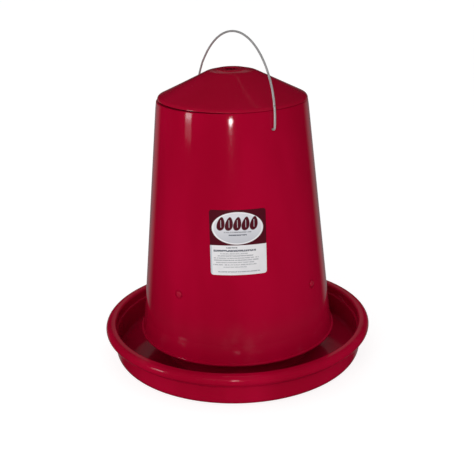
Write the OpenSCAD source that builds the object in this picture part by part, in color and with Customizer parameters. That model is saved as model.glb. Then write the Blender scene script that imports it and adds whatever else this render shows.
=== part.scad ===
// Hanging poultry feeder: hopper with a conical lid and a wire bail, over an open feed pan.
// Millimetres, +Z up, origin at the middle of the pan's resting face.

/* [Feed pan] */
// Diameter over the rolled rim
pan_d = 432; // [400:2:440]
// Height of the rim's crown above the floor
pan_h = 56; // [50:1:64]
// Wall and floor thickness of the plastic mouldings
wall = 3; // [2.5:0.5:3.5]
// Radius of the bowl's lower corner
bowl_corner_r = 13.5; // [8:0.5:16]
// Radius of the rolled rim's outer edge
rim_roll_r = 8; // [6:0.5:9]

/* [Hopper] */
// Height of the hopper's lower edge above the floor
hopper_foot_z = 43; // [38:1:50]
// Height of the hopper's top edge above the floor
hopper_top_z = 416.3; // [380:0.1:450]
// Outer diameter of the hopper at its top edge
hopper_top_d = 230.9; // [224:0.1:234]
// Growth of the radius for each millimetre downwards
hopper_taper = 0.104; // [0.09:0.002:0.11]
// How far the bead at the foot stands out from the wall
foot_bead = 4; // [2:0.5:6]
// Diameter of the hopper's mouth
mouth_d = 212; // [200:1:214]

/* [Lid] */
// Slope of the lid above the horizontal, in degrees
lid_slope = 26.1; // [20:0.1:30]
// Diameter of the hole in the crown
lid_hole_d = 21.4; // [12:0.2:26]
// Diameter of the raised crown ring
crown_d = 45; // [36:1:56]
// Depth of the locating skirt in the mouth
lid_skirt = 6; // [4:0.5:7]

/* [Bail] */
// Diameter of the bail's wire
wire_d = 3.6; // [3:0.1:4]
// Radius of the bail's hoop, to the middle of the wire
bail_r = 122; // [121.5:0.5:128]
// Height of the bail's holes above the floor
bail_z = 390; // [386:1:394]
// Direction of the front bail hole, in degrees from the front towards the right
bail_azimuth = 29; // [0:1:45]
// Lean of the bail from upright, in degrees
bail_lean = 4.3; // [0:0.1:10]

/* [Feed adjustment] */
// Diameter of the adjusting rod
rod_d = 8; // [6:0.5:10]
// Height of the rod's top end
rod_top_z = 186; // [180:1:200]
// Height of the crossbars' screws above the floor
screw_z = 144; // [135:1:150]
// Direction of the first crossbar screw, in degrees from the front towards the right
screw_azimuth = 53; // [45:1:60]
// Width of the crossbar straps
strap_w = 20; // [14:1:26]
// Thickness of the crossbar straps
strap_t = 2; // [1.5:0.5:3]
// Height of the feed spreader's top
spreader_top_z = 86; // [70:1:90]
// Diameter of the feed spreader's foot
spreader_d = 240; // [200:5:250]

/* [Label] */
// Width of the label
label_w = 83; // [60:1:90]
// Height of the label
label_h = 97; // [70:1:110]
// Height of the label's middle above the floor
label_z = 231.6; // [220:0.2:240]
// Direction of the label's middle, in degrees from the front towards the right
label_azimuth = 1.7; // [-10:0.1:10]

/* [Hidden] */
$fn = 96;
gap = 0.3;              // free space between parts that move past each other
plastic_red = "#9a0428";
steel = "#b9bcc0";
zinc = "#c9cbc6";

// Pan
pan_r = pan_d / 2;
rim_c = [pan_r - rim_roll_r, pan_h - rim_roll_r];   // centre of the rim's outer roll
rim_in_c = [pan_r - 13.4, pan_h - 3.9];             // centre of the rim's inner edge
rim_in_r = 3.4;
bowl_r = pan_r - 14.5;                              // outside of the bowl's wall
skirt_z = pan_h - 22.5;                             // lower edge of the rim's skirt
skirt_r = pan_r - 11;
skirt_turn = -40;                                   // where the roll runs into the skirt
recess_r = 21;                                      // recess for the rod's foot
recess_h = 8;
boss_r = recess_r + wall + 1;
boss_z = recess_h + wall;

// Rod, nuts and washers
rod_r = rod_d / 2;
rod_hole_r = rod_r + gap;
nut_hole_r = rod_r + 0.08;
nut_h = 6.5;
nut_across = 13;
washer_t = 1.6;
washer_r = 11;
rod_foot_z = 1;

// Crossbars, from the bottom strap upwards
bar_z = screw_z - 16;
screw_r = 2.4;
screw_hole_r = 2.5;
head_r = 5;
head_h = 2.4;
spot_r = 7.5;                                       // spot face around each head
spot_depth = 0.8;
pad_r = 9.5;                                        // pad on the wall's inside under each ear
pad_h = 2;
ear_x = -(wall + pad_h);                            // outer face of the ears, from the wall's outside
ear_top = 10;
wall_tilt = atan(hopper_taper);

// Lid
lid_seat_z = hopper_top_z + gap;
lid_r = hopper_top_d / 2 - 0.25;
lid_edge_r = 6;
crown_r = crown_d / 2;
crown_blend_r = 36;
lid_edge_c = [lid_r - lid_edge_r, lid_seat_z - 0.6];
lid_rise_start = [lid_edge_c[0] + lid_edge_r * sin(lid_slope), lid_edge_c[1] + lid_edge_r * cos(lid_slope)];
crown_z = cone_z(crown_blend_r) + 2.2;
skirt_out_r = mouth_d / 2 - 0.5;

// Bail
wire_r = wire_d / 2;
bail_hole_r = wire_r + 0.6;
hook_bend_r = 3;
hook_in_s = 108;                                    // upright end of each hook, inside the hopper
hook_up = 12;

function hopper_r(z) = hopper_top_d / 2 + hopper_taper * (hopper_top_z - z);
function cone_z(r) = lid_rise_start[1] + (lid_rise_start[0] - r) * tan(lid_slope);
function arc(c, r, a0, a1, n) = [for (i = [0:n]) let (a = a0 + (a1 - a0) * i / n)
                                 [c[0] + r * cos(a), c[1] + r * sin(a)]];

// Turns the front (-Y) to a direction given in degrees towards the right (+X)
module facing(azimuth) {
    rotate([0, 0, azimuth - 90]) children();
}

module washer(z, r_out, r_in, t) {
    translate([0, 0, z]) difference() {
        cylinder(r = r_out, h = t);
        translate([0, 0, -1]) cylinder(r = r_in, h = t + 2);
    }
}

module hex_nut(z, across, r_in, h) {
    translate([0, 0, z]) difference() {
        cylinder(r = across / 2 / cos(30), h = h, $fn = 6);
        translate([0, 0, -1]) cylinder(r = r_in, h = h + 2);
    }
}

module feed_pan() {
    color(plastic_red) rotate_extrude($fn = 180) polygon(concat(
        [[rod_r + 0.1, recess_h], [recess_r, recess_h], [recess_r + 2, 0]],
        arc([bowl_r - bowl_corner_r, bowl_corner_r], bowl_corner_r, -90, 0, 10),
        [[bowl_r, rim_in_c[1] - 2]],
        arc([bowl_r + 2, rim_in_c[1] - 2], 2, 180, 90, 4),
        arc(rim_c, rim_roll_r - wall, 90, skirt_turn, 12),
        [[skirt_r - 2.2, skirt_z + 1.5], [skirt_r, skirt_z]],
        arc(rim_c, rim_roll_r, skirt_turn, 90, 16),
        arc(rim_in_c, rim_in_r, 90, 200, 10),
        [[bowl_r - wall, rim_in_c[1] - 9]],
        arc([bowl_r - bowl_corner_r, bowl_corner_r], bowl_corner_r - wall, 0, -90, 10),
        [[boss_r + 4, wall], [boss_r, boss_z], [rod_r + 0.1, boss_z]]
    ));
}

// Shell cone that stands on the pan's floor around the raised boss
module feed_spreader() {
    cone_r = spreader_d / 2;
    neck_r = 13;
    color(plastic_red) rotate_extrude($fn = 144) polygon([
        [rod_r + 0.1, boss_z], [neck_r + 2, boss_z], [neck_r + 2, boss_z + 4],
        [rod_r + 3, boss_z + 4], [rod_r + 3, spreader_top_z - wall - 3],
        [neck_r - 2, spreader_top_z - wall - 3], [cone_r - 5, wall + 0.2], [cone_r, wall + 0.2],
        [cone_r, wall + 2.2], [neck_r + 2, spreader_top_z - 3], [neck_r, spreader_top_z],
        [rod_r + 0.1, spreader_top_z]
    ]);
}

module adjusting_rod() {
    chamfer = 1;
    color(steel) rotate_extrude() polygon([
        [0, rod_foot_z], [rod_r - chamfer, rod_foot_z], [rod_r, rod_foot_z + chamfer],
        [rod_r, rod_top_z - chamfer], [rod_r - chamfer, rod_top_z], [0, rod_top_z]
    ]);
}

module rod_foot_washer() { color(zinc) washer(recess_h - washer_t, washer_r, nut_hole_r, washer_t); }
module rod_foot_nut() {
    foot_z = rod_foot_z + 0.2;
    color(zinc) hex_nut(foot_z, nut_across, nut_hole_r, recess_h - washer_t - foot_z);
}
module cone_washer() { color(zinc) washer(spreader_top_z, washer_r, nut_hole_r, washer_t); }
module cone_nut() {
    color(zinc) hex_nut(spreader_top_z + washer_t, nut_across, nut_hole_r, nut_h);
}

// Places children at each crossbar screw: +X points out along the wall's normal, x = 0 on the outside
module at_screws(first = 0, step = 1) {
    for (i = [first:step:3]) facing(screw_azimuth + 90 * i)
        translate([hopper_r(screw_z), 0, screw_z]) rotate([0, -wall_tilt, 0]) children();
}

module along_x(r, x0, x1) {
    translate([x0, 0, 0]) rotate([0, 90, 0]) cylinder(r = r, h = x1 - x0, $fn = 48);
}

module hopper() {
    bead_r = hopper_r(hopper_foot_z) + foot_bead;
    inner_top_z = hopper_top_z - 8;
    color(plastic_red) difference() {
        union() {
            rotate_extrude($fn = 180) polygon(concat(
                [[hopper_r(hopper_foot_z) - wall, hopper_foot_z], [bead_r - 1, hopper_foot_z]],
                arc([bead_r - 1.2, hopper_foot_z + 1.5], 1.2, -50, 80, 6),
                [[hopper_r(hopper_foot_z) + 0.6, hopper_foot_z + 4],
                 [hopper_r(hopper_foot_z + 8), hopper_foot_z + 8]],
                [[hopper_r(hopper_top_z - 1.2), hopper_top_z - 1.2], [hopper_top_d / 2 - 1, hopper_top_z]],
                [[mouth_d / 2, hopper_top_z], [mouth_d / 2, hopper_top_z - 3.5]],
                [[hopper_r(inner_top_z) - wall, inner_top_z]]
            ));
            at_screws() along_x(pad_r, -wall - pad_h, -wall + 0.8);
        }
        at_screws() {
            along_x(screw_hole_r, -10, 10);
            along_x(spot_r, -spot_depth, 10);
        }
        for (side = [0, 180]) facing(bail_azimuth + side)
            translate([0, 0, bail_z]) along_x(bail_hole_r, hook_in_s, bail_r);
    }
}

// A flat strap across the hopper with an ear bent up along the wall at each end
module crossbar(z, first) {
    ear_foot = z - screw_z - 4;
    ear_w = strap_w - 2;
    reach = hopper_r(z) * cos(wall_tilt) + ear_x - strap_t / 2;
    color(steel) difference() {
        union() {
            facing(screw_azimuth + 90 * first) translate([-reach, -strap_w / 2, z])
                cube([2 * reach, strap_w, strap_t]);
            at_screws(first, 2) translate([ear_x - strap_t, -ear_w / 2, ear_foot])
                cube([strap_t, ear_w, ear_top - ear_foot]);
        }
        at_screws(first, 2) along_x(screw_hole_r, -20, 10);
        cylinder(r = rod_hole_r, h = rod_top_z);
        // levels the ears' feet with the strap's underside
        translate([-pan_r, -pan_r, z - 20]) cube([pan_d, pan_d, 20]);
    }
}

module lower_crossbar() { crossbar(bar_z, 0); }
module upper_crossbar() { crossbar(bar_z + strap_t, 1); }

module crossbar_screws() {
    color(plastic_red) at_screws() rotate([0, 90, 0]) rotate_extrude($fn = 48) polygon(concat(
        [[0, ear_x - strap_t - 8], [screw_r, ear_x - strap_t - 8], [screw_r, -spot_depth], [head_r, -spot_depth]],
        arc([head_r - 1.4, -spot_depth + head_h - 1.4], 1.4, 0, 80, 5),
        [[0, -spot_depth + head_h + 0.2]]
    ));
}

module crossbar_washers() {
    color(zinc) at_screws() difference() {
        along_x(5, ear_x - strap_t - 1, ear_x - strap_t);
        along_x(screw_r + 0.1, -30, 0);
    }
}

module crossbar_nuts() {
    color(zinc) at_screws() difference() {
        translate([ear_x - strap_t - 5, 0, 0]) rotate([0, 90, 0])
            cylinder(r = 4 / cos(30), h = 4, $fn = 6);
        along_x(screw_r + 0.05, -30, 0);
    }
}

module support_washer() { color(zinc) washer(bar_z - washer_t, washer_r, rod_hole_r, washer_t); }
module top_washer() { color(zinc) washer(bar_z + 2 * strap_t, washer_r, rod_hole_r, washer_t); }
module support_nut() {
    color(zinc) hex_nut(bar_z - washer_t - gap - nut_h, nut_across, nut_hole_r, nut_h);
}

module wing_nut() {
    foot_z = bar_z + 2 * strap_t + washer_t + gap;
    hub_h = 10;
    wing_t = 3;
    wing_reach = 17;
    wing_z = 11;
    color(zinc) translate([0, 0, foot_z]) difference() {
        union() {
            cylinder(r1 = 9, r2 = 7.5, h = hub_h);
            for (side = [0, 180]) rotate([90, 0, side]) translate([0, 0, -wing_t / 2]) {
                translate([wing_reach, wing_z, 0]) cylinder(r = 6, h = wing_t);
                linear_extrude(wing_t) polygon([[5, 1], [9, 1], [wing_reach + 4.5, wing_z - 4],
                                                [wing_reach - 2, wing_z + 5.6], [5, hub_h - 1]]);
            }
        }
        translate([0, 0, -1]) cylinder(r = nut_hole_r, h = 30);
    }
}

module lid() {
    under = wall / cos(lid_slope);
    inner_r = skirt_out_r - 2.5;
    color(plastic_red) rotate_extrude($fn = 180) polygon(concat(
        [[lid_edge_c[0] + sqrt(lid_edge_r * lid_edge_r - 0.36), lid_seat_z]],
        arc(lid_edge_c, lid_edge_r, 12, 90 - lid_slope, 6),
        [[crown_blend_r, cone_z(crown_blend_r)], [crown_r + 6, crown_z - 1.0], [crown_r + 1, crown_z - 0.2]],
        [[crown_r, crown_z + 0.7], [lid_hole_d / 2 + 1, crown_z + 0.7], [lid_hole_d / 2, crown_z]],
        [[lid_hole_d / 2, crown_z - wall], [crown_r + 6, crown_z - 1.0 - wall]],
        [[crown_blend_r, cone_z(crown_blend_r) - under], [inner_r, cone_z(inner_r) - under]],
        [[inner_r, lid_seat_z - lid_skirt], [skirt_out_r, lid_seat_z - lid_skirt], [skirt_out_r, lid_seat_z]]
    ));
}

// Sticker wrapped on the hopper's cone
module label() {
    corner = 4;
    top_z = label_z + label_h / 2 + 2;
    foot_z = label_z - label_h / 2 - 2;
    lift = 0.05;
    sticker_t = 0.3;
    facing(label_azimuth) color("white") intersection() {
        rotate_extrude($fn = 180) polygon([
            [hopper_r(foot_z) + lift, foot_z], [hopper_r(foot_z) + lift + sticker_t, foot_z],
            [hopper_r(top_z) + lift + sticker_t, top_z], [hopper_r(top_z) + lift, top_z]
        ]);
        translate([100, 0, label_z]) rotate([90, 0, 90]) linear_extrude(80) union() {
            square([label_w - 2 * corner, label_h], center = true);
            square([label_w, label_h - 2 * corner], center = true);
            for (x = [-1, 1], y = [-1, 1])
                translate([x * (label_w / 2 - corner), y * (label_h / 2 - corner)]) circle(r = corner, $fn = 32);
        }
    }
}

// Quarter bend of wire in the XZ plane, from angle a0, turning by a
module bend(c, r, a0, a) {
    translate([c[0], 0, c[1]]) rotate([90, 0, 0]) rotate([0, 0, a0])
        rotate_extrude(angle = a) translate([r, 0]) circle(r = wire_r, $fn = 32);
}

// Hoop of wire: its ends pass through the hopper's holes and turn up inside
module bail_handle() {
    color(steel) facing(bail_azimuth) translate([0, 0, bail_z]) rotate([-bail_lean, 0, 0]) {
        bend([0, hook_bend_r], bail_r, 0, 180);
        for (side = [0, 1]) mirror([side, 0, 0]) {
            bend([bail_r - hook_bend_r, hook_bend_r], hook_bend_r, -90, 90);
            translate([hook_in_s + hook_bend_r, 0, 0]) rotate([0, 90, 0])
                cylinder(r = wire_r, h = bail_r - hook_in_s - 2 * hook_bend_r, $fn = 32);
            bend([hook_in_s + hook_bend_r, hook_bend_r], hook_bend_r, 180, 90);
            translate([hook_in_s, 0, hook_bend_r]) cylinder(r = wire_r, h = hook_up - hook_bend_r, $fn = 32);
        }
    }
}

feed_pan();
feed_spreader();
adjusting_rod();
rod_foot_washer();
rod_foot_nut();
cone_washer();
cone_nut();
hopper();
lower_crossbar();
upper_crossbar();
crossbar_screws();
crossbar_washers();
crossbar_nuts();
support_washer();
top_washer();
label();
support_nut();
wing_nut();
lid();
bail_handle();
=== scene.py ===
import math

import bmesh
import bpy
from mathutils import Matrix, Vector


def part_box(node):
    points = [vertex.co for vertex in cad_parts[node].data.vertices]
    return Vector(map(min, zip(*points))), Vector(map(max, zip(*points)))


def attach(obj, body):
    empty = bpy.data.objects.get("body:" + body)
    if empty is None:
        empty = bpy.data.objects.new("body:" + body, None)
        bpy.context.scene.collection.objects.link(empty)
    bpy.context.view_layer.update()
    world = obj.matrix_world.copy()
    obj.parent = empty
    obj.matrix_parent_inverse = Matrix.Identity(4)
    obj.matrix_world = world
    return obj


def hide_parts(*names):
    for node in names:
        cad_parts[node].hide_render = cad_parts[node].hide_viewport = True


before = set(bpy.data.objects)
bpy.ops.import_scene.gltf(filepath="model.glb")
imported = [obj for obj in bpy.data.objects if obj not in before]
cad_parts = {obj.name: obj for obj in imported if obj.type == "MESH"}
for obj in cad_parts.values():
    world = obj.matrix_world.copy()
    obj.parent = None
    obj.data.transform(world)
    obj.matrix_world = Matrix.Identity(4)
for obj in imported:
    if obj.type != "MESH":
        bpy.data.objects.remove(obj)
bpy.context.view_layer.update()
mm = 0.001


# ---- camera

cameraRig = {
    "distance": 1.313,      # in front of the object's axis
    "height": 0.6709,
    "pitch": 20.06,         # degrees below the horizon
    "roll": 1.38,
    "pan": 0.116,
    "lens": 66.08,
}


def makeCamera(rig):
    pitch, roll, pan = (math.radians(rig[key]) for key in ("pitch", "roll", "pan"))
    ahead = Vector((math.sin(pan) * math.cos(pitch), math.cos(pan) * math.cos(pitch), -math.sin(pitch)))
    right = Vector((math.cos(pan), -math.sin(pan), 0))
    up = right.cross(ahead)
    tiltedRight = right * math.cos(roll) - up * math.sin(roll)
    tiltedUp = right * math.sin(roll) + up * math.cos(roll)
    data = bpy.data.cameras.new("camera")
    data.lens = rig["lens"]
    data.sensor_width = 36
    camera = bpy.data.objects.new("camera", data)
    bpy.context.scene.collection.objects.link(camera)
    turn = Matrix((tiltedRight, tiltedUp, -ahead)).transposed()
    camera.matrix_world = Matrix.Translation((0, -rig["distance"], rig["height"])) @ turn.to_4x4()
    bpy.context.scene.camera = camera


makeCamera(cameraRig)
print("camera placed")


# ---- node trees

class Wire:     # a node's output; arithmetic on it adds Math nodes
    def __init__(self, bench, socket):
        self.bench = bench
        self.socket = socket

    def __add__(self, other): return self.bench.maths("ADD", self, other)
    def __radd__(self, other): return self.bench.maths("ADD", other, self)
    def __sub__(self, other): return self.bench.maths("SUBTRACT", self, other)
    def __rsub__(self, other): return self.bench.maths("SUBTRACT", other, self)
    def __mul__(self, other): return self.bench.maths("MULTIPLY", self, other)
    def __rmul__(self, other): return self.bench.maths("MULTIPLY", other, self)
    def __truediv__(self, other): return self.bench.maths("DIVIDE", self, other)
    def __rtruediv__(self, other): return self.bench.maths("DIVIDE", other, self)
    def __pow__(self, other): return self.bench.maths("POWER", self, other)
    def __lt__(self, other): return self.bench.maths("LESS_THAN", self, other)
    def __gt__(self, other): return self.bench.maths("GREATER_THAN", self, other)
    def __mod__(self, other): return self.bench.maths("FLOORED_MODULO", self, other)
    def __abs__(self): return self.bench.maths("ABSOLUTE", self)
    def __neg__(self): return self.bench.maths("MULTIPLY", self, -1)


class Bench:    # adds nodes to one tree
    def __init__(self, tree):
        self.tree = tree

    # settings are set first; values go to sockets by name or number; pick is the output handed back
    def node(self, kind, settings=None, values=None, pick=0):
        made = self.tree.nodes.new(kind)
        for key, value in (settings or {}).items():
            if key == "stops":
                for i, (place, colour) in enumerate(value):
                    stop = made.color_ramp.elements[i] if i < 2 else made.color_ramp.elements.new(place)
                    stop.position = place
                    stop.color = colour
            else:
                setattr(made, key, value)
        for key, value in (values or {}).items():
            if isinstance(value, Wire):
                self.tree.links.new(value.socket, made.inputs[key])
            else:
                made.inputs[key].default_value = value
        return Wire(self, made.outputs[pick]) if len(made.outputs) else made

    def maths(self, operation, *operands):
        return self.node("ShaderNodeMath", {"operation": operation}, dict(enumerate(operands)))

    def smooth(self, value, low, high):
        return self.node("ShaderNodeMapRange", {"interpolation_type": "SMOOTHSTEP"},
                         {"Value": value, "From Min": low, "From Max": high})

    def parts(self, vector):
        first = self.node("ShaderNodeSeparateXYZ", None, {0: vector})
        return [Wire(self, output) for output in first.socket.node.outputs]

    def vector(self, x, y, z):
        return self.node("ShaderNodeCombineXYZ", None, {0: x, 1: y, 2: z})

    def mixColour(self, factor, low, high):
        return self.node("ShaderNodeMix", {"data_type": "RGBA"}, {0: factor, 6: low, 7: high}, 2)


# ---- materials

def tone(red, green, blue):
    return (red, green, blue, 1)


class Finish(Bench):        # a material with one Principled shader
    def __init__(self, name, fixed):
        self.material = bpy.data.materials.new(name)
        self.material.use_nodes = True
        super().__init__(self.material.node_tree)
        self.tree.nodes.clear()
        self.shader = self.tree.nodes.new("ShaderNodeBsdfPrincipled")
        self.plug("Surface", Wire(self, self.shader.outputs[0]),
                  self.tree.nodes.new("ShaderNodeOutputMaterial"))
        for key, value in fixed.items():
            self.shader.inputs[key].default_value = value

    def plug(self, name, wire, target=None):
        self.tree.links.new(wire.socket, (target or self.shader).inputs[name])

    def place(self, output="Object"):
        return self.node("ShaderNodeTexCoord", None, None, output)

    def noise(self, at, scale, detail=2.0, roughness=0.5):
        return self.node("ShaderNodeTexNoise", None,
                         {"Vector": at, "Scale": scale, "Detail": detail, "Roughness": roughness})

    def stretched(self, at, x, y, z):
        return self.node("ShaderNodeVectorMath", {"operation": "MULTIPLY"}, {0: at, 1: (x, y, z)})

    def bump(self, height, strength, distance, under=None):
        values = {"Height": height, "Strength": strength, "Distance": distance}
        if under:
            values["Normal"] = under
        return self.node("ShaderNodeBump", None, values)


redFinish = {
    "lipTop": 0.047,            # heights between which the dulling of the wall begins
    "wallFoot": 0.050,
    "deep": tone(0.355, 0.0004, 0.0200),
    "bright": tone(0.440, 0.0006, 0.0280),
    "scuff": tone(0.40, 0.055, 0.085),
}


def redPlastic(name, roughness, scuffFrom, scuffTo, dull=0.0):
    look = Finish(name, {"Specular IOR Level": 0.5, "IOR": 1.49})
    at = look.place()
    height = look.parts(at)[2]
    flow = look.noise(look.stretched(at, 1, 1, 0.35), 9.0, 3.0)
    speck = look.noise(at, 420.0, 2.0)
    peel = look.noise(at, 115.0, 2.0, 0.45)
    swell = look.noise(look.stretched(at, 1, 1, 0.4), 14.0, 1.0)
    scratch = look.noise(look.stretched(at, 60, 60, 900), 1.0, 2.0, 0.6)
    patch = look.noise(at, 22.0, 3.0, 0.6)
    worn = look.smooth(height, scuffFrom, scuffTo)
    rubbed = worn * look.smooth(patch, 0.50, 0.72)
    # softens the highlights on the wall, and leaves the lip at the foot as it is
    duller = worn * look.smooth(height, redFinish["lipTop"], redFinish["wallFoot"]) * dull
    scored = look.smooth(scratch, 0.68, 0.74) * look.smooth(patch, 0.44, 0.62)
    base = look.mixColour(look.smooth(flow, 0.32, 0.68), redFinish["deep"], redFinish["bright"])
    base = look.mixColour(rubbed * 0.10, base, redFinish["scuff"])
    base = look.mixColour(scored * 0.04, base, redFinish["scuff"])
    look.plug("Base Color", base)
    sheen = roughness + (flow - 0.5) * 0.06 + (speck - 0.5) * 0.04
    look.plug("Roughness", sheen + rubbed * 0.10 + scored * 0.12 + duller)
    waves = look.bump(swell, 0.5, 0.0016)
    skin = look.bump(peel, 0.16, 0.00022, waves)
    look.plug("Normal", look.bump(scored, 0.05, 0.0001, skin))
    return look.material


def metalFinish(name, dark, light, roughness, grain, spangle=0.0, metallic=1.0):
    look = Finish(name, {"Metallic": metallic})
    at = look.place()
    streak = look.noise(look.stretched(at, *grain), 1.0, 3.0, 0.6)
    cloud = look.noise(at, 60.0, 3.0)
    value = look.smooth(streak * 0.5 + cloud * 0.5, 0.30, 0.70)
    if spangle:
        cell = look.node("ShaderNodeTexVoronoi", None, {"Vector": at, "Scale": spangle}, "Color")
        value = value * 0.45 + look.parts(cell)[0] * 0.55
    look.plug("Base Color", look.mixColour(value, dark, light))
    look.plug("Roughness", roughness + (value - 0.5) * 0.16)
    look.plug("Normal", look.bump(streak, 0.18, 0.0001))
    return look.material


metals = {
    "wire": metalFinish("drawnWire", tone(0.58, 0.57, 0.57), tone(0.70, 0.69, 0.69), 0.32, (160, 160, 160),
                        0.0, 0.45),
    "strap": metalFinish("galvanisedStrap", tone(0.40, 0.41, 0.42), tone(0.66, 0.67, 0.68), 0.36,
                         (40, 40, 900), 130.0),
    "rod": metalFinish("galvanisedRod", tone(0.38, 0.38, 0.39), tone(0.62, 0.62, 0.62), 0.38,
                       (300, 300, 900)),
    "zinc": metalFinish("zincPlate", tone(0.52, 0.51, 0.46), tone(0.76, 0.75, 0.70), 0.28, (400, 400, 400)),
}
plastics = {
    "tub": redPlastic("tubPlastic", 0.085, 0.12, 0.08, 0.07),
    "pan": redPlastic("panPlastic", 0.12, 0.050, 0.060),
    "lid": redPlastic("lidPlastic", 0.17, 0.440, 0.470),
    "screw": redPlastic("screwNylon", 0.24, 0.0, 0.4),
}
print("materials made")


# ---- outlines and turned shells

def arc(centre, radius, start, end, steps):
    turns = [math.radians(start + (end - start) * i / steps) for i in range(steps + 1)]
    return [(centre[0] + radius * math.cos(a), centre[1] + radius * math.sin(a)) for a in turns]


# a closed outline whose corners (r, z, radius) are rounded
def rounded(corners, steps=6):
    points = []
    for i, (r, z, radius) in enumerate(corners):
        here = Vector((r, z))
        before = Vector(corners[i - 1][:2]) - here
        after = Vector(corners[(i + 1) % len(corners)][:2]) - here
        if not radius:
            points.append((r, z))
            continue
        half = before.angle(after) / 2
        cut = min(radius / math.tan(half), before.length * 0.49, after.length * 0.49)
        first = here + before.normalized() * cut
        last = here + after.normalized() * cut
        middle = here + (before.normalized() + after.normalized()).normalized() * cut / math.cos(half)
        spread = (first - middle).angle_signed(last - middle)
        for k in range(steps + 1):
            turned = Matrix.Rotation(-spread * k / steps, 2) @ (first - middle)
            points.append(tuple(middle + turned))
    return points


# no edge of the outline stays longer than step
def divided(points, step):
    made = []
    for i, here in enumerate(points):
        after = points[(i + 1) % len(points)]
        cuts = max(1, math.ceil(math.dist(here, after) / step))
        for k in range(cuts):
            made.append(tuple(here[j] + (after[j] - here[j]) * k / cuts for j in (0, 1)))
    return made


def startTree(name, inputs):
    tree = bpy.data.node_groups.new(name, "GeometryNodeTree")
    tree.interface.new_socket("Geometry", in_out="INPUT", socket_type="NodeSocketGeometry")
    for label, kind in inputs:
        tree.interface.new_socket(label, in_out="INPUT", socket_type=kind)
    tree.interface.new_socket("Geometry", in_out="OUTPUT", socket_type="NodeSocketGeometry")
    bench = Bench(tree)
    entry = bench.node("NodeGroupInput").socket.node
    return bench, {output.name: Wire(bench, output) for output in entry.outputs if output.name}


def endTree(bench, geometry, material):
    real = bench.node("GeometryNodeRealizeInstances", None, {0: geometry})
    painted = bench.node("GeometryNodeSetMaterial", None, {"Geometry": real, "Material": material})
    bench.node("NodeGroupOutput", None, {0: painted})
    return bench.tree


# sweeps the outline's points, given in their order, round the Z axis
def turnedTree():
    bench, given = startTree("turnedShell", [("Steps", "NodeSocketInt"), ("Material", "NodeSocketMaterial")])
    count = bench.node("GeometryNodeAttributeDomainSize", {"component": "MESH"}, {0: given["Geometry"]},
                       "Point Count")
    grid = bench.node("GeometryNodeMeshGrid", None,
                      {"Size X": 1.0, "Size Y": 1.0, "Vertices X": given["Steps"] + 1,
                       "Vertices Y": count + 1})
    across, along, _ = bench.parts(bench.node("GeometryNodeInputPosition"))
    turn = (across + 0.5) * math.tau
    order = bench.maths("ROUND", (along + 0.5) * count) % count
    outline = bench.node("GeometryNodeSampleIndex", {"data_type": "FLOAT_VECTOR", "domain": "POINT"},
                         {"Geometry": given["Geometry"], "Value": bench.node("GeometryNodeInputPosition"),
                          "Index": order})
    radius, _, height = bench.parts(outline)
    place = bench.vector(radius * bench.maths("COSINE", turn), radius * bench.maths("SINE", turn), height)
    moved = bench.node("GeometryNodeSetPosition", None, {"Geometry": grid, "Position": place})
    closed = bench.node("GeometryNodeMergeByDistance", None, {"Geometry": moved, "Distance": 1e-6})
    return endTree(bench, closed, given["Material"])


# a tube along the given path, with both ends closed
def wireTree():
    bench, given = startTree("drawnWire", [("Radius", "NodeSocketFloat"), ("Sides", "NodeSocketInt"),
                                           ("Material", "NodeSocketMaterial")])
    path = bench.node("GeometryNodeMeshToCurve", None, {0: given["Geometry"]})
    ring = bench.node("GeometryNodeCurvePrimitiveCircle", None,
                      {"Resolution": given["Sides"], "Radius": given["Radius"]})
    tube = bench.node("GeometryNodeCurveToMesh", None,
                      {"Curve": path, "Profile Curve": ring, "Fill Caps": True})
    return endTree(bench, tube, given["Material"])


# copies the given piece to evenly spaced places round the Z axis, its +X turned outwards and up by Tilt
def ringTree():
    bench, given = startTree("ringOfPieces", [
        ("Count", "NodeSocketInt"), ("Radius", "NodeSocketFloat"), ("Height", "NodeSocketFloat"),
        ("Start", "NodeSocketFloat"), ("Tilt", "NodeSocketFloat"), ("Material", "NodeSocketMaterial")])
    line = bench.node("GeometryNodeMeshLine", None, {"Count": given["Count"]})
    index = bench.node("GeometryNodeInputIndex")
    turn = given["Start"] + index * math.tau / given["Count"]
    place = bench.vector(given["Radius"] * bench.maths("COSINE", turn),
                         given["Radius"] * bench.maths("SINE", turn), given["Height"])
    spots = bench.node("GeometryNodeSetPosition", None, {"Geometry": line, "Position": place})
    copies = bench.node("GeometryNodeInstanceOnPoints", None,
                        {"Points": spots, "Instance": given["Geometry"],
                         "Rotation": bench.vector(0.0, -given["Tilt"], turn)})
    return endTree(bench, copies, given["Material"])


trees = {"turned": turnedTree(), "wire": wireTree(), "ring": ringTree()}


def addObject(name, mesh):
    piece = bpy.data.objects.new(name, mesh)
    bpy.context.scene.collection.objects.link(piece)
    return piece


def meshFrom(name, points, edges=(), faces=()):
    mesh = bpy.data.meshes.new(name)
    mesh.from_pydata([tuple(p) for p in points], list(edges), [tuple(f) for f in faces])
    return mesh


def smoothed(mesh, sharpAngle=38):
    mesh.polygons.foreach_set("use_smooth", [True] * len(mesh.polygons))
    mesh.set_sharp_from_angle(angle=math.radians(sharpAngle))


# the evaluated object as a plain mesh object, without its modifiers
def settled(piece, name):
    graph = bpy.context.evaluated_depsgraph_get()
    mesh = bpy.data.meshes.new_from_object(piece.evaluated_get(graph))
    mesh.name = name
    bpy.data.objects.remove(piece)
    return addObject(name, mesh)


def outwards(mesh):
    shape = bmesh.new()
    shape.from_mesh(mesh)
    bmesh.ops.recalc_face_normals(shape, faces=shape.faces)
    if shape.calc_volume(signed=True) < 0:
        bmesh.ops.reverse_faces(shape, faces=shape.faces)
    shape.to_mesh(mesh)
    shape.free()


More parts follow.
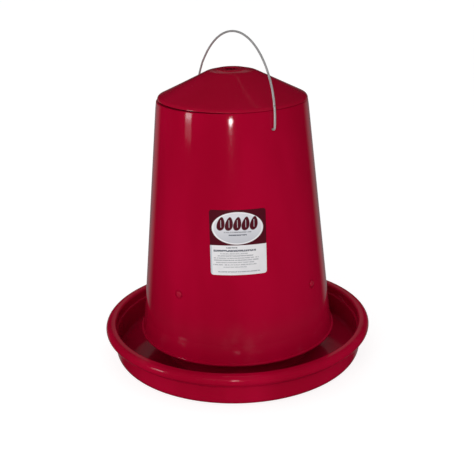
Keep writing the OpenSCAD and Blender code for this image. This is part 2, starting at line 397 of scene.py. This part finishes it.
def grown(name, tree, startMesh, inputs, sharpAngle=38):
    start = addObject(name + "Start", startMesh)
    modifier = start.modifiers.new("grow", "NODES")
    modifier.node_group = trees[tree]
    sockets = {item.name: item.identifier for item in trees[tree].interface.items_tree
               if item.in_out == "INPUT"}
    for key, value in inputs.items():
        modifier[sockets[key]] = value
    piece = settled(start, name)
    outwards(piece.data)
    smoothed(piece.data, sharpAngle)
    return piece


def turned(name, outline, material, steps=224, sharpAngle=38):
    points = [(r, 0, z) for r, z in outline]
    return grown(name, "turned", meshFrom(name + "Outline", points),
                 {"Steps": steps, "Material": material}, sharpAngle)


def put(piece, body, slotName, *nodes):
    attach(piece, body)
    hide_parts(*nodes)


# ---- feed pan

feedPan = {
    "wall": 3.0 * mm,
    "rimRoll": 8.0 * mm,
    "innerEdge": 3.4 * mm,
    "innerEdgeIn": 13.4 * mm,   # from the pan's outer edge to the middle of the rim's inner edge
    "innerEdgeDown": 3.9 * mm,
    "ledgeDrop": 15.0 * mm,     # from the rim's crown to the ledge round the inside
    "ledge": 1.9 * mm,
    "floorCorner": 6.0 * mm,
    "bowlIn": 14.5 * mm,        # from the pan's outer edge to the outside of the bowl
    "bowlCorner": 13.5 * mm,
    "skirtDrop": 22.5 * mm,
    "skirtIn": 11.8 * mm,
    "skirtTurn": -34,
    "recess": (21.0 * mm, 8.0 * mm),
    "bossOut": 4.0 * mm,
    "rodHole": 4.1 * mm,
    "step": 7.0 * mm,
}


def panOutline(size, low, high):
    outer, top, wall = high.x, high.z, size["wall"]
    roll = (outer - size["rimRoll"], top - size["rimRoll"])
    inner = (outer - size["innerEdgeIn"], top - size["innerEdgeDown"])
    bowl = outer - size["bowlIn"]
    corner = (bowl - size["bowlCorner"], size["bowlCorner"])
    recessR, recessH = size["recess"]
    bossR = recessR + size["bossOut"]
    skirtZ = top - size["skirtDrop"]
    skirtR = outer - size["skirtIn"]
    ledgeZ = top - size["ledgeDrop"]
    face = bowl - wall
    floorEdge = (face - 1.5 * mm - size["floorCorner"], wall + size["floorCorner"])
    ledge = rounded([
        (inner[0] - size["innerEdge"], inner[1] - 2 * mm, 0), (face + 0.4 * mm, ledgeZ + 0.8 * mm, 1.5 * mm),
        (face - size["ledge"], ledgeZ - 0.3 * mm, 1.2 * mm), (face - 1.5 * mm, wall + 14 * mm, 0)], 5)[1:-1]
    under = rounded([
        (size["rodHole"], recessH, 0), (recessR, recessH, 0.8 * mm), (recessR + 2 * mm, 0, 1.5 * mm),
        (corner[0], 0, 0)])[:-1]
    return divided(
        under
        + arc(corner, size["bowlCorner"], -90, 0, 14)
        + arc((bowl + 2 * mm, top - 6.2 * mm), 2 * mm, 180, 90, 6)
        + arc(roll, size["rimRoll"] - wall, 90, size["skirtTurn"], 16)
        + [(skirtR - 1.6 * mm, skirtZ + 0.8 * mm)]
        + arc((skirtR - 0.8 * mm, skirtZ + 0.8 * mm), 0.8 * mm, 180, 330, 6)
        + arc(roll, size["rimRoll"], size["skirtTurn"], 90, 28)
        + arc(inner, size["innerEdge"], 90, 190, 14)
        + ledge
        + arc(floorEdge, size["floorCorner"], 0, -90, 10)
        + rounded([
            (bossR + 9 * mm, wall, 0), (bossR + 4 * mm, wall, 2.5 * mm), (bossR, recessH + wall, 2 * mm),
            (size["rodHole"], recessH + wall, 0)])
        , size["step"])


low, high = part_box("feed_pan")
pan = turned("feedPan", panOutline(feedPan, low, high), plastics["pan"])
put(pan, "pan", "red_plastic", "feed_pan")


# ---- feed spreader, the cone in the middle of the pan

feedSpreader = {
    "wall": 3.0 * mm,
    "rodHole": 4.1 * mm,
    "neck": 13.0 * mm,
    "sleeve": 7.0 * mm,
    "edge": 2.0 * mm,
}


def spreaderOutline(size, low, high):
    foot, top, outer, wall, neck = 3.2 * mm, high.z, high.x, size["wall"], size["neck"]
    seat = low.z + 7.8 * mm
    return divided(rounded([
        (size["rodHole"], seat, 0), (neck + 2 * mm, seat, 0), (neck + 2 * mm, seat + 4 * mm, 0),
        (size["sleeve"], seat + 4 * mm, 1 * mm), (size["sleeve"], top - wall - 3 * mm, 1 * mm),
        (neck - 2 * mm, top - wall - 3 * mm, 1 * mm), (outer - 5 * mm, foot, 0), (outer, foot, 0),
        (outer, foot + size["edge"], 1 * mm), (neck + 2 * mm, top - 3 * mm, 3 * mm), (neck, top, 1.5 * mm),
        (size["rodHole"], top, 0)], 5), 8 * mm)


low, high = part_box("feed_spreader")
spreader = turned("feedSpreader", spreaderOutline(feedSpreader, low, high), plastics["pan"], 144)
put(spreader, "pan", "red_plastic", "feed_spreader")


# ---- hopper

hopperTub = {
    "wall": 3.0 * mm,
    "taper": 0.104,             # radius gained for each unit downwards
    "topRadius": 115.45 * mm,
    "mouth": 106.0 * mm,
    "ledge": 3.5 * mm,
    "bead": 4.0 * mm,           # how far the lip at the foot stands out
    "lip": 3.4 * mm,
    "flare": 30.0 * mm,         # height over which the wall turns out to it
    "shoulder": 15.0 * mm,      # height over which the top draws in
    "shoulderIn": 0.45 * mm,
    "topEdge": 1.3 * mm,
    "screwHeight": 144.0 * mm,
    "screwAzimuth": 53,
    "padRadius": 9.5 * mm,
    "padHeight": 2.0 * mm,
    "spotRadius": 7.5 * mm,
    "spotDepth": 0.8 * mm,
    "screwHole": 2.5 * mm,
    "bailHeight": 390.0 * mm,
    "bailAzimuth": 29,
    "bailHole": 2.4 * mm,
}
low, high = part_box("hopper")
tubFoot, tubTop = low.z, high.z
wallTilt = math.atan(hopperTub["taper"])


def tubRadius(z):
    return hopperTub["topRadius"] + hopperTub["taper"] * (tubTop - z)


def tubOutline(size):
    wall = size["wall"]
    foot = tubRadius(tubFoot)
    bead = foot + size["bead"]
    start = tubTop - size["shoulder"]
    shoulder = []
    for i in range(9):
        share = i / 8
        z = start + (size["shoulder"] - size["topEdge"]) * share
        shoulder.append((tubRadius(z) - size["shoulderIn"] * share ** 2, z))
    lip = size["topEdge"]
    edgeR = shoulder[-1][0]
    edge = arc((edgeR - lip, tubTop - lip), lip, 12, 90, 7)
    inner = tubTop - 8 * mm
    return divided(
        rounded([(foot - wall, tubFoot, 1.0 * mm), (bead, tubFoot, 0.8 * mm),
                 (bead, tubFoot + size["lip"], 2.4 * mm),
                 (bead - 2.5 * mm, tubFoot + size["lip"] - 0.1 * mm, 0.3 * mm),
                 (tubRadius(tubFoot + size["flare"]), tubFoot + size["flare"], 40 * mm),
                 (tubRadius(tubFoot + size["flare"] + 8 * mm), tubFoot + size["flare"] + 8 * mm, 0)], 6)
        + shoulder[:-1]
        + edge
        + [(size["mouth"], tubTop), (size["mouth"], tubTop - size["ledge"]),
           (tubRadius(inner) - wall, inner)]
        , 7 * mm)


def facing(azimuth):    # +X is turned to azimuth, in degrees from the front towards the right
    return Matrix.Rotation(math.radians(azimuth - 90), 4, "Z")


def rodAlongX(radius, x0, x1, material, steps=48):
    shape = bmesh.new()
    bmesh.ops.create_cone(shape, cap_ends=True, segments=steps, radius1=radius, radius2=radius, depth=x1 - x0)
    mesh = bpy.data.meshes.new("cutter")
    shape.to_mesh(mesh)
    shape.free()
    mesh.materials.append(material)
    mesh.transform(Matrix.Translation(((x0 + x1) / 2, 0, 0)) @ Matrix.Rotation(math.pi / 2, 4, "Y"))
    return mesh


def combine(piece, cutters, operation):
    helpers = []
    for mesh, place in cutters:
        mesh.transform(place)
        helper = addObject("cutter", mesh)
        helpers.append(helper)
        modifier = piece.modifiers.new("cut", "BOOLEAN")
        modifier.operation = operation
        modifier.solver = "EXACT"
        modifier.object = helper
    name = piece.name
    piece.name = name + "Uncut"
    made = settled(piece, name)
    for helper in helpers:
        bpy.data.objects.remove(helper)
    return made


def screwPlace(number):
    size = hopperTub
    return (facing(size["screwAzimuth"] + 90 * number)
            @ Matrix.Translation((tubRadius(size["screwHeight"]), 0, size["screwHeight"]))
            @ Matrix.Rotation(-wallTilt, 4, "Y"))


tub = turned("hopperTub", tubOutline(hopperTub), plastics["tub"])
wall = hopperTub["wall"]
red = plastics["tub"]
pads = []
for i in range(4):
    pad = rodAlongX(hopperTub["padRadius"], -wall - hopperTub["padHeight"], -wall + 0.8 * mm, red)
    pads.append((pad, screwPlace(i)))
tub = combine(tub, pads, "UNION")
cutters = []
for i in range(4):
    cutters.append((rodAlongX(hopperTub["screwHole"], -10 * mm, 10 * mm, red), screwPlace(i)))
    cutters.append((rodAlongX(hopperTub["spotRadius"], -hopperTub["spotDepth"], 10 * mm, red), screwPlace(i)))
raised = Matrix.Translation((0, 0, hopperTub["bailHeight"]))
for side in (0, 180):
    bailDrill = rodAlongX(hopperTub["bailHole"], 108 * mm, 125 * mm, red)
    cutters.append((bailDrill, facing(hopperTub["bailAzimuth"] + side) @ raised))
tub = combine(tub, cutters, "DIFFERENCE")
smoothed(tub.data, 30)
put(tub, "tub", "red_plastic", "hopper")
print("pan and hopper made")


# ---- lid

hopperLid = {
    "wall": 3.0 * mm,
    "slope": 26.1,
    "rimInset": 0.45 * mm,
    "edge": 6.0 * mm,
    "seatDrop": 0.6 * mm,
    "crownBlend": 36.0 * mm,
    "crown": 22.5 * mm,
    "crownRise": 2.2 * mm,
    "crownStep": 0.5 * mm,
    "hole": 10.7 * mm,
    "skirtInset": 0.5 * mm,
    "skirt": 6.0 * mm,
    "skirtWall": 2.5 * mm,
    "warp": 2.4 * mm,           # how far the rim stands up where it has bent
    "drawn": 1.9 * mm,          # and how far it is drawn in there
    "warpAzimuth": -74,
}
seat = tubTop + 0.3 * mm


def lidOutline(size):
    slope = math.radians(size["slope"])
    rim = hopperTub["topRadius"] - size["rimInset"]
    edge = (rim - size["edge"], seat - size["seatDrop"])
    rise = (edge[0] + size["edge"] * math.sin(slope), edge[1] + size["edge"] * math.cos(slope))

    def cone(r):
        return rise[1] + (rise[0] - r) * math.tan(slope)

    blend, crown, hole = size["crownBlend"], size["crown"], size["hole"]
    top = cone(blend) + size["crownRise"]
    under = size["wall"] / math.cos(slope)
    skirtR = hopperTub["mouth"] - size["skirtInset"]
    inner = skirtR - size["skirtWall"]
    foot = seat - size["skirt"]
    outside = rounded([(rise[0], rise[1], 0), (blend, cone(blend), 30 * mm),
                       (crown + 3.5 * mm, top - 0.9 * mm, 8 * mm),
                       (crown + 0.6 * mm, top - 0.4 * mm, 0.8 * mm),
                       (crown, top + size["crownStep"], 0.9 * mm),
                       (hole, top + size["crownStep"], 1.6 * mm), (hole, top - size["wall"], 0)], 8)[1:-1]
    inside = rounded([(hole, top - size["wall"], 0.6 * mm),
                      (crown + 6 * mm, top - 1 * mm - size["wall"], 6 * mm),
                      (blend, cone(blend) - under, 12 * mm), (inner, cone(inner) - under, 3 * mm),
                      (inner, foot, 0.8 * mm), (skirtR, foot, 0.8 * mm), (skirtR, seat, 0.3 * mm),
                      (edge[0] + size["edge"] - 0.1 * mm, seat, 0)], 5)[1:-1]
    bottom = [(edge[0] + size["edge"] - 0.9 * mm, seat)]
    return divided(bottom + arc(edge, size["edge"], 8, 90 - size["slope"], 12) + outside + inside, 5 * mm)


lid = turned("hopperLid", lidOutline(hopperLid), plastics["lid"])
bent = math.radians(hopperLid["warpAzimuth"] - 90)
for vertex in lid.data.vertices:
    place = vertex.co
    reach = (math.hypot(place.x, place.y) / hopperTub["topRadius"]) ** 4
    turn = math.cos(math.atan2(place.y, place.x) - bent)
    bend = reach * max(0, turn) ** 2
    inwards = 1 - hopperLid["drawn"] * bend / hopperTub["topRadius"]
    vertex.co = (place.x * inwards, place.y * inwards, place.z + hopperLid["warp"] * bend)
put(lid, "cover", "red_plastic", "lid")
print("lid made")


# ---- bail, a hoop of wire hooked through two holes in the hopper

bailWire = {
    "radius": 1.6 * mm,
    "hoop": 122.0 * mm,
    "bend": 3.0 * mm,
    "hookIn": 108.0 * mm,
    "hookUp": 12.0 * mm,
    "lean": 4.3,
    "sag": 0.7 * mm,            # how far the hoop's shoulders fall inside a true circle
    "crestWidth": 7,            # degrees either side of the top that keep the full radius
    "kink": 0.6 * mm,
    "kinkAt": 32,               # degrees up the far leg
}


def hoopRadius(size, turn):
    fromTop = (turn - 90) / size["crestWidth"]
    legs = math.sin(math.radians(2 * turn)) ** 2
    kink = math.exp(-((turn - 180 + size["kinkAt"]) / 2.5) ** 2)
    return size["hoop"] - size["sag"] * legs * (1 - math.exp(-fromTop ** 2)) + size["kink"] * kink


def bailPath(size):
    bend, hoop, hook = size["bend"], size["hoop"], size["hookIn"]
    hookEnd = [(hook, size["hookUp"]), (hook, size["hookUp"] * 0.6)]
    turnIn = arc((hook + bend, bend), bend, 180, 270, 8)
    turnUp = arc((hoop - bend, bend), bend, -90, 0, 8)
    near = hookEnd + turnIn + turnUp
    steps = 150
    over = []
    for i in range(1, steps):
        turn = 180 * i / steps
        r = hoopRadius(size, turn)
        over.append((r * math.cos(math.radians(turn)), bend + r * math.sin(math.radians(turn))))
    far = [(-x, z) for x, z in reversed(near)]
    return [(x, 0, z) for x, z in near + over + far]


path = bailPath(bailWire)
start = meshFrom("bailPath", path, [(i, i + 1) for i in range(len(path) - 1)])
bail = grown("bailWire", "wire", start,
             {"Radius": bailWire["radius"], "Sides": 20, "Material": metals["wire"]}, 50)
bail.data.transform(facing(hopperTub["bailAzimuth"]) @ Matrix.Translation((0, 0, hopperTub["bailHeight"]))
                    @ Matrix.Rotation(math.radians(-bailWire["lean"]), 4, "X"))
put(bail, "bail", "bail_wire", "bail_handle")


# ---- screws that hold the crossbars, one at each spot face

wallScrew = {
    "head": 5.0 * mm,
    "headHeight": 2.6 * mm,
    "shank": 2.4 * mm,
    "reach": 15.0 * mm,
    "dome": 0.55 * mm,
}


def screwOutline(size, spot):
    head, shank = size["head"], size["shank"]
    crown = size["headHeight"] - spot
    dome = [(head - 1.5 * mm) * (1 - i / 6) for i in range(1, 6)]
    cap = [(r, crown - size["dome"] * (r / head) ** 2) for r in dome]
    return divided([(0.05 * mm, -size["reach"]), (shank - 0.5 * mm, -size["reach"]),
                    (shank, -size["reach"] + 0.5 * mm)]
                   + [(shank, -spot), (head - 0.2 * mm, -spot), (head, -spot + 0.2 * mm)]
                   + arc((head - 1.3 * mm, crown - 0.55 * mm - 1.1 * mm), 1.3 * mm, 0, 75, 6)
                   + cap + [(0.05 * mm, crown)], 2 * mm)


screwPiece = turned("screwPiece", screwOutline(wallScrew, hopperTub["spotDepth"]), plastics["screw"], 40)
screwMesh = screwPiece.data.copy()
screwMesh.transform(Matrix.Rotation(math.pi / 2, 4, "Y"))
bpy.data.objects.remove(screwPiece)
screws = grown("crossbarScrews", "ring", screwMesh, {
    "Count": 4, "Radius": tubRadius(hopperTub["screwHeight"]), "Height": hopperTub["screwHeight"],
    "Start": math.radians(hopperTub["screwAzimuth"] - 90), "Tilt": wallTilt, "Material": plastics["screw"]})
put(screws, "tub", "red_nylon", "crossbar_screws")
print("bail and screws made")


# ---- adjusting rod with its thread

adjustingRod = {"core": 3.62 * mm, "crest": 4.0 * mm, "pitch": 2.0 * mm, "turnSteps": 20, "chamfer": 1.0 * mm}


def rodOutline(size, low, high):
    core, cut = size["core"], size["chamfer"]
    return [(0.05 * mm, low.z), (core - cut, low.z), (core, low.z + cut), (core, high.z - cut),
            (core - cut, high.z), (0.05 * mm, high.z)]


low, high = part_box("adjusting_rod")
rodCore = turned("rodCore", divided(rodOutline(adjustingRod, low, high), 10 * mm), metals["rod"], 40)
threadZ = (low.z + 1.5 * mm, high.z - 1.5 * mm)
turns = (threadZ[1] - threadZ[0]) / adjustingRod["pitch"]
threadSteps = int(turns * adjustingRod["turnSteps"])
helix = []
for i in range(threadSteps + 1):
    angle = math.tau * i / adjustingRod["turnSteps"]
    helix.append((adjustingRod["core"] * math.cos(angle), adjustingRod["core"] * math.sin(angle),
                  threadZ[0] + adjustingRod["pitch"] * i / adjustingRod["turnSteps"]))
threadStart = meshFrom("threadPath", helix, [(i, i + 1) for i in range(threadSteps)])
thread = grown("rodThread", "wire", threadStart, {
    "Radius": adjustingRod["crest"] - adjustingRod["core"], "Sides": 6, "Material": metals["rod"]}, 30)
for piece in (rodCore, thread):
    put(piece, "pan", "galvanised_steel", "adjusting_rod")


# ---- sticker on the hopper's front

sticker = {
    "width": 83.0 * mm,
    "height": 97.0 * mm,
    "azimuth": 1.7,
    "middle": 231.6 * mm,
    "corner": 4.0 * mm,
    "lift": 0.06 * mm,
    "thickness": 0.24 * mm,
    "columns": 50,
    "rows": 58,
}


def roundedSheet(size):
    halfW, halfH, corner = size["width"] / 2, size["height"] / 2, size["corner"]
    points = []
    for j in range(size["rows"] + 1):
        for i in range(size["columns"] + 1):
            x = halfW * (2 * i / size["columns"] - 1)
            y = halfH * (2 * j / size["rows"] - 1)
            overX, overY = abs(x) - (halfW - corner), abs(y) - (halfH - corner)
            if overX > 0 and overY > 0:     # the grid's corner squares are drawn in to a quarter circle
                square = max(overX, overY) / math.hypot(overX, overY)
                x = math.copysign(halfW - corner + overX * square, x)
                y = math.copysign(halfH - corner + overY * square, y)
            points.append((x, y))
    return points


def makeSticker(size, material):
    flat = roundedSheet(size)
    row = size["columns"] + 1
    faces = [(j * row + i, j * row + i + 1, (j + 1) * row + i + 1, (j + 1) * row + i)
             for j in range(size["rows"]) for i in range(size["columns"])]
    layers = []
    for lift in (size["lift"], size["lift"] + size["thickness"]):
        for x, y in flat:
            z = size["middle"] + y * math.cos(wallTilt)
            r = tubRadius(z) + lift
            turn = math.radians(size["azimuth"]) + x / tubRadius(z)
            layers.append((r * math.sin(turn), -r * math.cos(turn), z))
    count = len(flat)
    back = [tuple(reversed(face)) for face in faces]
    front = [tuple(k + count for k in face) for face in faces]
    border = ([i for i in range(row)] + [j * row + row - 1 for j in range(1, size["rows"] + 1)]
              + [size["rows"] * row + i for i in range(row - 2, -1, -1)]
              + [j * row for j in range(size["rows"] - 1, 0, -1)])
    side = [(a, b, b + count, a + count) for a, b in zip(border, border[1:] + border[:1])]
    mesh = meshFrom("sticker", layers, (), back + front + side)
    layer = mesh.uv_layers.new(name="UVMap")
    for loop in mesh.loops:
        x, y = flat[loop.vertex_index % count]
        layer.data[loop.index].uv = (x / size["width"] + 0.5, y / size["height"] + 0.5)
    outwards(mesh)
    mesh.materials.append(material)
    smoothed(mesh, 40)
    return addObject("sticker", mesh)


printed = {
    "paper": tone(0.58, 0.61, 0.67),
    "edge": tone(0.88, 0.86, 0.87),
    "maroon": tone(0.090, 0.0020, 0.0105),
    "silver": tone(0.60, 0.60, 0.64),
    "pale": tone(0.76, 0.75, 0.79),
    "ink": tone(0.11, 0.12, 0.15),
    "split": 44.7,              # height of the lower panel, in millimetres
    "oval": (41.0, 70.0, 37.6, 24.0),       # middle across and up, half width, half height
    "ovalRing": 0.93,
    # middle across and up, spacing, half width, half height, number to each side
    "kernels": (41.0, 76.8, 15.4, 5.6, 10.0, 2),
    # middle across and up, half width, half height and strength of each printed rule
    "rules": [(41, 64.2, 20, 0.9, 0.60), (41, 60.0, 13, 0.9, 0.95), (32, 41.2, 8, 0.8, 0.85),
              (36, 36.6, 31, 1.4, 0.95), (35, 32.2, 20, 0.8, 0.50), (37, 29.0, 26, 0.8, 0.60),
              (38, 25.6, 33, 0.8, 0.52), (38, 22.4, 33, 0.8, 0.60), (36, 19.0, 28, 0.8, 0.50),
              (36, 15.6, 32, 0.8, 0.55), (36, 12.2, 17, 0.8, 0.45), (42, 5.0, 31, 0.8, 0.66)],
}


def paperSticker(size, art):
    look = Finish("stickerPaper", {"Specular IOR Level": 0.25})
    u, v, _ = look.parts(look.place("UV"))
    across = u * (size["width"] / mm)
    up = v * (size["height"] / mm)
    fibre = look.noise(look.place(), 900.0, 2.0)
    cloud = look.noise(look.place(), 55.0, 2.0)

    def edgeOf(distance, soft=0.25):     # 1 where the signed distance in millimetres is inside
        return 1 - look.smooth(distance, -soft, soft)

    def box(x, y, halfW, halfH, soft=0.3):
        return edgeOf(abs(across - x) - halfW, soft) * edgeOf(abs(up - y) - halfH, soft)

    def ellipse(x, y, halfW, halfH):
        return (((across - x) / halfW) ** 2 + ((up - y) / halfH) ** 2) ** 0.5

    upper = edgeOf(art["split"] - up)
    x, y, halfW, halfH = art["oval"]
    oval = ellipse(x, y, halfW, halfH)
    inOval = 1 - look.smooth(oval, 0.992, 1.008)
    inFace = 1 - look.smooth(oval, art["ovalRing"] - 0.015, art["ovalRing"] + 0.005)
    x, y, spacing, halfW, halfH, sides = art["kernels"]
    kernels = 0.0
    for i in range(-sides, sides + 1):
        lean = (up - y) * 0.16
        fat = halfW * (1.0 - ((up - y) / halfH) * 0.28)
        shape = ((across - x - i * spacing * 0.78 - lean) / fat) ** 2 + ((up - y) / halfH) ** 2
        slit = box(x + i * spacing * 0.78, y, 0.35, halfH * 0.55)
        kernels = kernels + (1 - look.smooth(shape, 0.9, 1.12)) * (1 - slit)
    grit = look.noise(look.stretched(look.place("UV"), size["width"] / mm * 0.75, 40, 0), 1.0, 1.0)
    broken = look.smooth(grit, 0.36, 0.46)
    rules = 0.0
    for x, y, halfW, halfH, strength in art["rules"]:
        rules = rules + box(x, y, halfW, halfH) * strength
    rules = rules * broken
    shade = look.smooth(up, art["oval"][1] - 22, art["oval"][1] + 6)
    face = look.mixColour(shade, art["silver"], art["pale"])
    base = look.mixColour(edgeOf(2.4 - across) * 0.9, art["paper"], art["edge"])
    base = look.mixColour(upper, base, art["maroon"])
    base = look.mixColour(inOval, base, art["edge"])
    base = look.mixColour(inOval * inFace, base, face)
    base = look.mixColour(look.maths("MINIMUM", kernels, 1.0), base, art["maroon"])
    base = look.mixColour(look.maths("MINIMUM", rules, 1.0), base, art["ink"])
    base = look.mixColour(look.smooth(cloud, 0.4, 0.8) * (1 - upper) * 0.2, base, art["silver"])
    look.plug("Base Color", base)
    look.plug("Roughness", 0.38 + (fibre - 0.5) * 0.10 + upper * -0.06)
    look.plug("Normal", look.bump(fibre, 0.10, 0.00008))
    return look.material


stickerPiece = makeSticker(sticker, paperSticker(sticker, printed))
put(stickerPiece, "tub", "label_paper", "label")
print("rod and sticker made")


# ---- metal pieces that keep their CAD shape

dressed = {
    "strap": ("lower_crossbar", "upper_crossbar"),
    "zinc": ("rod_foot_washer", "rod_foot_nut", "cone_washer", "cone_nut", "crossbar_washers",
             "crossbar_nuts", "support_washer", "top_washer", "support_nut", "wing_nut"),
}
for metal, nodes in dressed.items():
    for node in nodes:
        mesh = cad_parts[node].data
        mesh.materials.clear()
        mesh.materials.append(metals[metal])


# ---- floor and light

studio = {
    "floorRadius": 40.0,
    "floorGlow": 0.82,
    "key": {"azimuth": -20, "elevation": 24, "distance": 2.2, "size": 0.9, "power": 8.0},
    "fill": {"azimuth": 38, "elevation": 30, "distance": 2.6, "size": 1.4, "power": 2.6},
    "lamp": {"azimuth": -2.5, "height": 0.455, "distance": 1.6, "size": 0.14, "power": 1.7},
    "strips": [(0.41, 0.62, 6.5), (0.35, 0.41, 2.6), (0.30, 0.35, 0.9)],     # foot, top and brightness
    "stripAzimuth": -64,
    "stripWidth": 0.22,
    "stripDistance": 1.25,
    "above": 0.55,              # soft light from above and below
    "below": 0.70,
    "front": 0.005,
    "behind": 0.22,
    "panel": 0.15,              # a dim panel high at the back, seen in the trough
}


def around(azimuth, distance, height):
    turn = math.radians(azimuth)
    return Vector((math.sin(turn) * distance, -math.cos(turn) * distance, height))


def areaLight(name, place, target, width, height, power, glossy):
    data = bpy.data.lights.new(name, "AREA")
    data.shape = "RECTANGLE"
    data.size = width
    data.size_y = height
    data.energy = power
    light = bpy.data.objects.new(name, data)
    light.location = place
    light.rotation_mode = "QUATERNION"
    light.rotation_quaternion = (place - target).to_track_quat("Z", "Y")
    light.visible_glossy = glossy
    light.visible_camera = False
    bpy.context.scene.collection.objects.link(light)
    return light


middle = Vector((0, 0, 0.24))
for name in ("key", "fill"):
    setup = studio[name]
    flat = setup["distance"] * math.cos(math.radians(setup["elevation"]))
    rise = setup["distance"] * math.sin(math.radians(setup["elevation"]))
    place = around(setup["azimuth"], flat, middle.z + rise)
    areaLight(name, place, middle, setup["size"], setup["size"], setup["power"], False)
lamp = studio["lamp"]
spot = areaLight("lamp", around(lamp["azimuth"], lamp["distance"], lamp["height"]), Vector((0, 0, 0.4)),
                 lamp["size"], lamp["size"], lamp["power"], True)
spot.data.shape = "DISK"
for i, (foot, top, brightness) in enumerate(studio["strips"]):
    height = top - foot
    place = around(studio["stripAzimuth"], studio["stripDistance"], (foot + top) / 2)
    areaLight("strip" + str(i), place, Vector((0, 0, place.z)), studio["stripWidth"], height,
              brightness * studio["stripWidth"] * height * math.pi, True)


def makeFloor(size):
    look = Finish("paleFloor", {"Base Color": tone(0.35, 0.35, 0.35), "Roughness": 0.9,
                                "Emission Color": tone(1, 1, 1), "Emission Strength": size["floorGlow"],
                                "Specular IOR Level": 0.0})
    steps = 64
    reach = size["floorRadius"]
    ring = [(reach * math.cos(math.tau * i / steps), reach * math.sin(math.tau * i / steps), 0)
            for i in range(steps)]
    mesh = meshFrom("floor", ring, (), [range(steps)])
    mesh.materials.append(look.material)
    floor = addObject("floor", mesh)
    floor.visible_glossy = False
    floor.visible_diffuse = False


def makeSurround(size):
    world = bpy.data.worlds.new("surround")
    world.use_nodes = True
    bench = Bench(world.node_tree)
    world.node_tree.nodes.clear()
    ray = bench.node("ShaderNodeLightPath").socket.node
    seen = Wire(bench, ray.outputs["Is Camera Ray"])
    glossy = Wire(bench, ray.outputs["Is Glossy Ray"])
    x, y, z = bench.parts(bench.node("ShaderNodeTexCoord", None, None, "Generated"))
    behind = bench.smooth(y, 0.62, 0.80) * (1 - bench.smooth(z, -0.15, 0.12))
    band = bench.smooth(z, 0.27, 0.31) * (1 - bench.smooth(z, 0.475, 0.50))
    panel = bench.smooth(y, 0.5, 0.6) * band * (1 - bench.smooth(x * x, 0.009, 0.017))
    mirrored = size["front"] + behind * (size["behind"] - size["front"]) + panel * size["panel"]
    soft = size["below"] + bench.smooth(z, -0.35, 0.35) * (size["above"] - size["below"])
    strength = seen + (1 - seen) * (glossy * mirrored + (1 - glossy) * soft)
    light = bench.node("ShaderNodeBackground", None, {"Strength": strength, "Color": tone(1, 1, 1)})
    bench.node("ShaderNodeOutputWorld", None, {"Surface": light})
    bpy.context.scene.world = world


makeFloor(studio)
makeSurround(studio)
bpy.context.scene.view_settings.view_transform = "Standard"
print("floor and light made")
